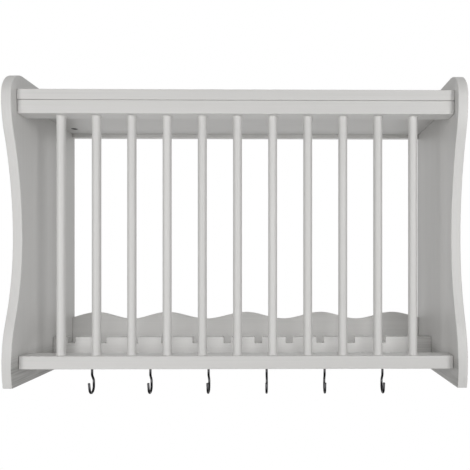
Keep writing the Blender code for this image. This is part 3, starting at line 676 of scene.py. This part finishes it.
def spindles(paint, names, pitch):
    """Round bars between the rails, each with a thin fillet of paint where it enters the wood.

    The rows of points crowd toward both ends, where the fillets are.
    """
    low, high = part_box(names[0])
    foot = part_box("bottom_front_rail")[1].z
    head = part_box("top_front_rail")[0].z
    length = head - foot + 2 * SPINDLE_SUNK
    radius = (high.x - low.x) / 2
    sizes = {
        "Spindles": len(names), "Pitch": (pitch, 0.0, 0.0),
        "First Spindle": (-pitch * (len(names) - 1) / 2, (low.y + high.y) / 2, (foot + head) / 2),
        "Length": length, "Radius": radius, "Sides": SPINDLE_SIDES, "Rows": SPINDLE_ROWS,
        "Half Turn Per Length": math.pi / length, "Half Length": length / 2,
        "Clear Half Length": (head - foot) / 2,
        "Fillet Width": PAINT_FILLET_WIDTH / radius, "Fillet Height": PAINT_FILLET_HEIGHT,
    }
    tree, given = size_tree("spindle_row", sizes)
    bar = add(tree, "GeometryNodeMeshCylinder", {
        "Vertices": given["Sides"], "Side Segments": given["Rows"], "Radius": given["Radius"],
        "Depth": given["Length"]})
    place = add(tree, "ShaderNodeSeparateXYZ", {
        "Vector": add(tree, "GeometryNodeInputPosition").outputs["Position"]})
    turn = add(tree, "ShaderNodeMath", {
        0: place.outputs["Z"], 1: given["Half Turn Per Length"]}, operation="MULTIPLY")
    share = add(tree, "ShaderNodeMath", {0: turn.outputs[0]}, operation="SINE")
    height = add(tree, "ShaderNodeMath", {
        0: share.outputs[0], 1: given["Half Length"]}, operation="MULTIPLY")
    off_middle = add(tree, "ShaderNodeMath", {0: height.outputs[0]}, operation="ABSOLUTE")
    from_rail = add(tree, "ShaderNodeMath", {
        0: off_middle.outputs[0], 1: given["Clear Half Length"]}, operation="SUBTRACT")
    fall = add(tree, "ShaderNodeMath", {
        0: from_rail.outputs[0], 1: given["Fillet Height"]}, operation="DIVIDE")
    capped = add(tree, "ShaderNodeMath", {0: fall.outputs[0], 1: 0.0}, operation="MINIMUM")
    curve = add(tree, "ShaderNodeMath", {0: capped.outputs[0]}, operation="EXPONENT")
    wider = add(tree, "ShaderNodeMath", {
        0: curve.outputs[0], 1: given["Fillet Width"], 2: 1.0}, operation="MULTIPLY_ADD")
    across = {axis: add(tree, "ShaderNodeMath", {
        0: place.outputs[axis], 1: wider.outputs[0]}, operation="MULTIPLY").outputs[0]
        for axis in "XY"}
    moved = add(tree, "ShaderNodeCombineXYZ", {**across, "Z": height.outputs[0]})
    shaped = add(tree, "GeometryNodeSetPosition", {
        "Geometry": bar.outputs["Mesh"], "Position": moved.outputs["Vector"]})
    line = add(tree, "GeometryNodeMeshLine", {
        "Count": given["Spindles"], "Start Location": given["First Spindle"],
        "Offset": given["Pitch"]}, mode="OFFSET")
    row = add(tree, "GeometryNodeInstanceOnPoints", {
        "Points": line.outputs["Mesh"], "Instance": shaped.outputs["Geometry"]})
    end_tree(tree, row.outputs["Instances"], paint)
    piece = run_tree(points_piece("painted_spindles", []), tree, sizes)
    settle(piece, paint, names)


# Hooks


def hook_path():
    """The wire's centre line as (depth, height, thickness share), from the shank to the tip."""
    wire, bowl, neck = HOOK_WIRE / 2, HOOK_BOWL_RADIUS, HOOK_NECK_RADIUS
    sine, cosine = math.sin(HOOK_NECK_ANGLE), math.cos(HOOK_NECK_ANGLE)
    centre_depth, centre_height = -HOOK_BOWL_FORWARD, -HOOK_DROP + wire + bowl
    back = centre_depth + bowl
    slant = (back - 2 * neck * (1 - cosine)) / sine
    neck_end = -HOOK_NECK_DROP - 2 * neck * sine - slant * cosine
    path = [(0.0, HOOK_SUNK, 1.0)]
    turns = [HOOK_NECK_ANGLE * step / HOOK_BEND_STEPS for step in range(HOOK_BEND_STEPS + 1)]
    for turn in turns:
        path.append((neck * (1 - math.cos(turn)), -HOOK_NECK_DROP - neck * math.sin(turn), 1.0))
    for turn in reversed(turns):
        path.append((back - neck * (1 - math.cos(turn)), neck_end + neck * math.sin(turn), 1.0))
    last = HOOK_TIP_LEAN - math.pi
    for step in range(HOOK_BOWL_STEPS + 1):
        turn = last * step / HOOK_BOWL_STEPS
        path.append((centre_depth + bowl * math.cos(turn),
                     centre_height + bowl * math.sin(turn), 1.0))
    end_depth, end_height, _ = path[-1]
    for step in range(HOOK_TIP_STEPS + 1):
        turn = math.pi / 2 * step / HOOK_TIP_STEPS
        run = HOOK_TIP_LENGTH - wire * (1 - math.sin(turn))
        path.append((end_depth + run * math.sin(last), end_height - run * math.cos(last),
                     max(math.cos(turn), HOOK_TIP_LEAST)))
    return path


def hook_tree(steel, sizes):
    """Draws round wire along a hook's centre line, and keeps how far along it each point is."""
    tree, given = size_tree("hook_wire", sizes)
    ring = add(tree, "GeometryNodeCurvePrimitiveCircle", {
        "Resolution": given["Sides"], "Radius": given["Wire Radius"]})
    marked = add(tree, "GeometryNodeStoreNamedAttribute", {
        "Geometry": given["Geometry"], "Name": ALONG_WIRE,
        "Value": add(tree, "GeometryNodeSplineParameter").outputs["Factor"]},
        data_type="FLOAT", domain="POINT")
    wire = add(tree, "GeometryNodeCurveToMesh", {
        "Curve": marked.outputs["Geometry"], "Profile Curve": ring.outputs["Curve"],
        "Fill Caps": True})
    end_tree(tree, wire.outputs["Mesh"], steel)
    return tree


def hooks(steel):
    """Bent wire hooks, each turning with its own body."""
    sizes = {"Wire Radius": HOOK_WIRE / 2, "Sides": HOOK_SIDES}
    tree = hook_tree(steel, sizes)
    path = hook_path()
    for joint in frame["joints"]:
        body = joint["child"]
        node = "cup_" + body
        centre_line = bpy.data.curves.new(node, "CURVE")
        centre_line.dimensions = "3D"
        spline = centre_line.splines.new("POLY")
        spline.points.add(len(path) - 1)
        shank = Vector(joint["pos_m"])
        for point, (depth, height, share) in zip(spline.points, path):
            point.co = (*(shank + Vector((0, depth, height))), 1.0)
            point.radius = share
        piece = run_tree(new_piece("plated_" + node, centre_line), tree, sizes)
        settle(piece, steel, [node], body)


# Fittings


def cam_locks(black_zinc):
    """Cast drums seen from below in the shelf's bores, with a cross slot for a driver."""
    low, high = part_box(CAM_LOCKS[0])
    height = high.z - low.z
    sizes = {
        "Radius": (high.y - low.y) / 2, "Height": height, "Sides": ROUND_SIDES,
        "Slot Across": (CAM_SLOT_LENGTH, CAM_SLOT_WIDTH, 2 * CAM_SLOT_DEPTH),
        "Slot Along": (CAM_SLOT_WIDTH, CAM_SLOT_LENGTH, 2 * CAM_SLOT_DEPTH),
        "Slot Place": (0.0, 0.0, -height / 2),
    }
    tree, given = size_tree("cam_drums", sizes)
    drum = add(tree, "GeometryNodeMeshCylinder", {
        "Vertices": given["Sides"], "Radius": given["Radius"], "Depth": given["Height"]})
    shape = drum.outputs["Mesh"]
    for slot in ("Slot Across", "Slot Along"):
        block = add(tree, "GeometryNodeMeshCube", {"Size": given[slot]})
        placed = add(tree, "GeometryNodeTransform", {
            "Geometry": block.outputs["Mesh"], "Translation": given["Slot Place"]})
        shape = add(tree, "GeometryNodeMeshBoolean", {
            "Mesh 1": shape, "Mesh 2": placed.outputs["Geometry"]},
            operation="DIFFERENCE").outputs["Mesh"]
    drums = add(tree, "GeometryNodeInstanceOnPoints", {
        "Points": given["Geometry"], "Instance": shape})
    end_tree(tree, drums.outputs["Instances"], black_zinc)
    places = [middle(node) for node in CAM_LOCKS]
    piece = run_tree(points_piece("cast_cam_locks", places), tree, sizes)
    ease_edges(piece, CAM_EDGE)
    settle(piece, black_zinc, CAM_LOCKS)


def screw_caps(plastic):
    """Low domed caps over the screws in the panels' outer faces."""
    places = []
    for node in SCREW_CAPS:
        place = middle(node)
        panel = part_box("side_panel_" + node.rsplit("_", 1)[1])
        place.x = panel[0].x if place.x < 0 else panel[1].x
        places.append(place)
    low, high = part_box(SCREW_CAPS[0])
    sizes = {"Radius": (high.y - low.y) / 2, "Rim": CAP_RIM, "Half Rim": CAP_RIM / 2,
             "Dome": CAP_DOME, "Sides": ROUND_SIDES, "Rings": CAP_RINGS}
    tree, given = size_tree("screw_caps", sizes)
    disc = add(tree, "GeometryNodeMeshCylinder", {
        "Vertices": given["Sides"], "Fill Segments": given["Rings"], "Radius": given["Radius"],
        "Depth": given["Rim"]}, fill_type="TRIANGLE_FAN")
    here = add(tree, "GeometryNodeInputPosition").outputs["Position"]
    spot = add(tree, "ShaderNodeSeparateXYZ", {"Vector": here})
    flat = add(tree, "ShaderNodeCombineXYZ", {"X": spot.outputs["X"], "Y": spot.outputs["Y"]})
    far = add(tree, "ShaderNodeVectorMath", {0: flat.outputs["Vector"]}, operation="LENGTH")
    share = add(tree, "ShaderNodeMath", {
        0: far.outputs["Value"], 1: given["Radius"]}, operation="DIVIDE")
    square = add(tree, "ShaderNodeMath", {0: share.outputs[0], 1: 2.0}, operation="POWER")
    rest = add(tree, "ShaderNodeMath", {0: 1.0, 1: square.outputs[0]}, operation="SUBTRACT")
    kept = add(tree, "ShaderNodeMath", {0: rest.outputs[0], 1: 0.0}, operation="MAXIMUM")
    arch = add(tree, "ShaderNodeMath", {0: kept.outputs[0]}, operation="SQRT")
    rise = add(tree, "ShaderNodeMath", {
        0: arch.outputs[0], 1: given["Dome"]}, operation="MULTIPLY")
    lift = add(tree, "ShaderNodeCombineXYZ", {"Z": rise.outputs[0]})
    domed = add(tree, "GeometryNodeSetPosition", {
        "Geometry": disc.outputs["Mesh"], "Selection": disc.outputs["Top"],
        "Offset": lift.outputs["Vector"]})
    seat = add(tree, "ShaderNodeCombineXYZ", {"Z": given["Half Rim"]})
    seated = add(tree, "GeometryNodeTransform", {
        "Geometry": domed.outputs["Geometry"], "Translation": seat.outputs["Vector"]})
    outward = add(tree, "ShaderNodeVectorMath", {
        0: here, 1: (1.0, 0.0, 0.0)}, operation="MULTIPLY")
    turn = add(tree, "FunctionNodeAlignRotationToVector", {
        "Vector": outward.outputs["Vector"]}, axis="Z")
    caps = add(tree, "GeometryNodeInstanceOnPoints", {
        "Points": given["Geometry"], "Instance": seated.outputs["Geometry"],
        "Rotation": turn.outputs["Rotation"]})
    end_tree(tree, caps.outputs["Instances"], plastic)
    piece = run_tree(points_piece("moulded_screw_caps", places), tree, sizes)
    settle(piece, plastic, SCREW_CAPS)


def hidden_fittings(beech, plated):
    """Pegs, bolts and screws inside the joints keep their CAD shapes and get their finish."""
    kinds = {("dowel", "pin"): beech, ("cam_bolt", "screw_"): plated}
    for name, node in frame["nodes"].items():
        for starts, material in kinds.items():
            if name.startswith(starts) and not node.hide_render:
                for slot in node.material_slots:
                    slot.material = material


# Stage


def seen_as_background(tree):
    """One where the camera, a reflection or a view through glass looks at the background itself."""
    path = add(tree, "ShaderNodeLightPath").outputs
    seen = path["Is Camera Ray"]
    for ray in ("Is Glossy Ray", "Is Transmission Ray"):
        seen = add(tree, "ShaderNodeMath", {0: seen, 1: path[ray]}, operation="MAXIMUM").outputs[0]
    return seen


def from_sides(tree, sign, strengths):
    """Light from three sides of the room; each side fades as the square of its share."""
    way = add(tree, "ShaderNodeTexCoord").outputs["Generated"]
    facing = add(tree, "ShaderNodeVectorMath", {
        0: way, 1: (sign, sign, sign)}, operation="MULTIPLY").outputs["Vector"]
    kept = add(tree, "ShaderNodeVectorMath", {
        0: facing, 1: (0, 0, 0)}, operation="MAXIMUM").outputs["Vector"]
    share = add(tree, "ShaderNodeVectorMath", {
        0: kept, 1: kept}, operation="MULTIPLY").outputs["Vector"]
    return add(tree, "ShaderNodeVectorMath", {
        0: share, 1: strengths}, operation="DOT_PRODUCT").outputs["Value"]


def white_surround():
    """Soft light from the room's sides, and plain white wherever the background itself is seen."""
    world = bpy.data.worlds.new("white_surround")
    bpy.context.scene.world = world
    world.use_nodes = True
    tree = world.node_tree
    tree.nodes.clear()
    level = add(tree, "ShaderNodeMath", {
        0: from_sides(tree, 1, SURROUND_RIGHT_BACK_UP),
        1: from_sides(tree, -1, SURROUND_LEFT_FRONT_DOWN)}, operation="ADD")
    soft = add(tree, "ShaderNodeBackground", {
        "Color": linear(WHITE), "Strength": level.outputs[0]})
    plain = add(tree, "ShaderNodeBackground", {"Color": linear(WHITE), "Strength": 1.0})
    both = add(tree, "ShaderNodeMixShader", {
        0: seen_as_background(tree), 1: soft.outputs[0], 2: plain.outputs[0]})
    add(tree, "ShaderNodeOutputWorld", {"Surface": both.outputs[0]})


def white_floor():
    """A matt pale floor below the rack, with a glow that lifts it toward white where it is seen."""
    floor = mesh_from("floor", lambda bm: bmesh.ops.create_grid(bm, size=FLOOR_HALF_SIDE))
    floor.location = FLOOR_PLACE
    material, tree = blank_material("white_floor")
    matt = add(tree, "ShaderNodeBsdfDiffuse", {"Color": linear(FLOOR_TONE)})
    strength = add(tree, "ShaderNodeMath", {
        0: seen_as_background(tree), 1: FLOOR_GLOW}, operation="MULTIPLY")
    glow = add(tree, "ShaderNodeEmission", {
        "Color": linear(WHITE), "Strength": strength.outputs[0]})
    both = add(tree, "ShaderNodeAddShader", {0: matt.outputs[0], 1: glow.outputs[0]})
    add(tree, "ShaderNodeOutputMaterial", {"Surface": both.outputs[0]})
    floor.data.materials.append(material)


def softboxes():
    """The two upright lamps in front, turned toward the rack."""
    for name, box in SOFTBOXES.items():
        light = bpy.data.lights.new(name, "AREA")
        light.shape = "RECTANGLE"
        light.size, light.size_y = box["size"]
        light.energy = box["watts"]
        lamp = new_piece(name, light)
        lamp.location = box["place"]
        aim = Vector(SOFTBOX_AIM) - lamp.location
        lamp.rotation_euler = aim.to_track_quat("-Z", "Y").to_euler()


def photo_camera():
    """The photograph's camera: level, a little turned, with its frame shifted off the axis."""
    camera = new_piece("camera", bpy.data.cameras.new("camera"))
    camera.data.sensor_width = SENSOR
    camera.data.lens = SENSOR * FOCAL_PIXELS / IMAGE_SIZE
    camera.data.shift_x = (IMAGE_SIZE / 2 - PRINCIPAL_POINT[0]) / IMAGE_SIZE
    camera.data.shift_y = (PRINCIPAL_POINT[1] - IMAGE_SIZE / 2) / IMAGE_SIZE
    camera.data.clip_start = CAMERA_NEAR
    camera.location = CAMERA_PLACE
    camera.rotation_euler = (math.pi / 2, 0, CAMERA_TURN)
    bpy.context.scene.camera = camera


# Assembly

level_paint = finish("satin_paint_level_grain", satin_paint, "X")
# The panels', shelf's and plate rest's finishes carry painted shade in their corners.
panel_paint = finish("satin_paint_with_painted_shade_on_panels", satin_paint, "Z", PAINT_TONES, painted_shade_inside_feet())
shelf_paint = finish("satin_paint_with_painted_shade_on_shelf", satin_paint, "X", PAINT_TONES, painted_shade_under_shelf_ends())
# The plate rest's paler paint is painted light.
rest_paint = finish("satin_paint_with_painted_light_and_shade_on_plate_rest", satin_paint, "X", BACK_RAIL_PAINTED_LIGHT_TONES,
                    painted_shade_at_rest_ends())
spindle_names = sorted(name for name in frame["nodes"] if name.startswith("spindle_"))
spindle_pitch = middle(spindle_names[1]).x - middle(spindle_names[0]).x

for panel_side in SIDES:
    side_panel(panel_side, panel_paint)
top_shelf(shelf_paint)
front_rail("top_front_rail", level_paint, HIDDEN_EDGE_SHARE)
front_rail("bottom_front_rail", level_paint)
# The hanging rail's paler paint is painted light.
hanging_rail(finish("satin_paint_with_painted_light_on_hanging_rail", satin_paint, "X", BACK_RAIL_PAINTED_LIGHT_TONES))
plate_rest(rest_paint, spindle_pitch, len(spindle_names) + 1)
wavy_board(level_paint)
# The spindles' paler paint is painted light.
spindles(finish("satin_paint_with_painted_light_on_spindles", satin_paint, "Z", SPINDLE_PAINTED_LIGHT_TONES),
         spindle_names, spindle_pitch)
hooks(finish("black_nickel_wire_with_painted_reflection", black_nickel))
cam_locks(finish("blackened_cast_zinc", zinc, "#1C1C1E", "#2E2E30"))
screw_caps(finish("moulded_polyethylene", moulded_polyethylene))
hidden_fittings(finish("bare_turned_beech", bare_beech),
                finish("bright_zinc_plate", zinc, "#9C9D9F", "#BBBBB9"))

bpy.context.scene.view_settings.view_transform = "Standard"
white_surround()
white_floor()
softboxes()
photo_camera()
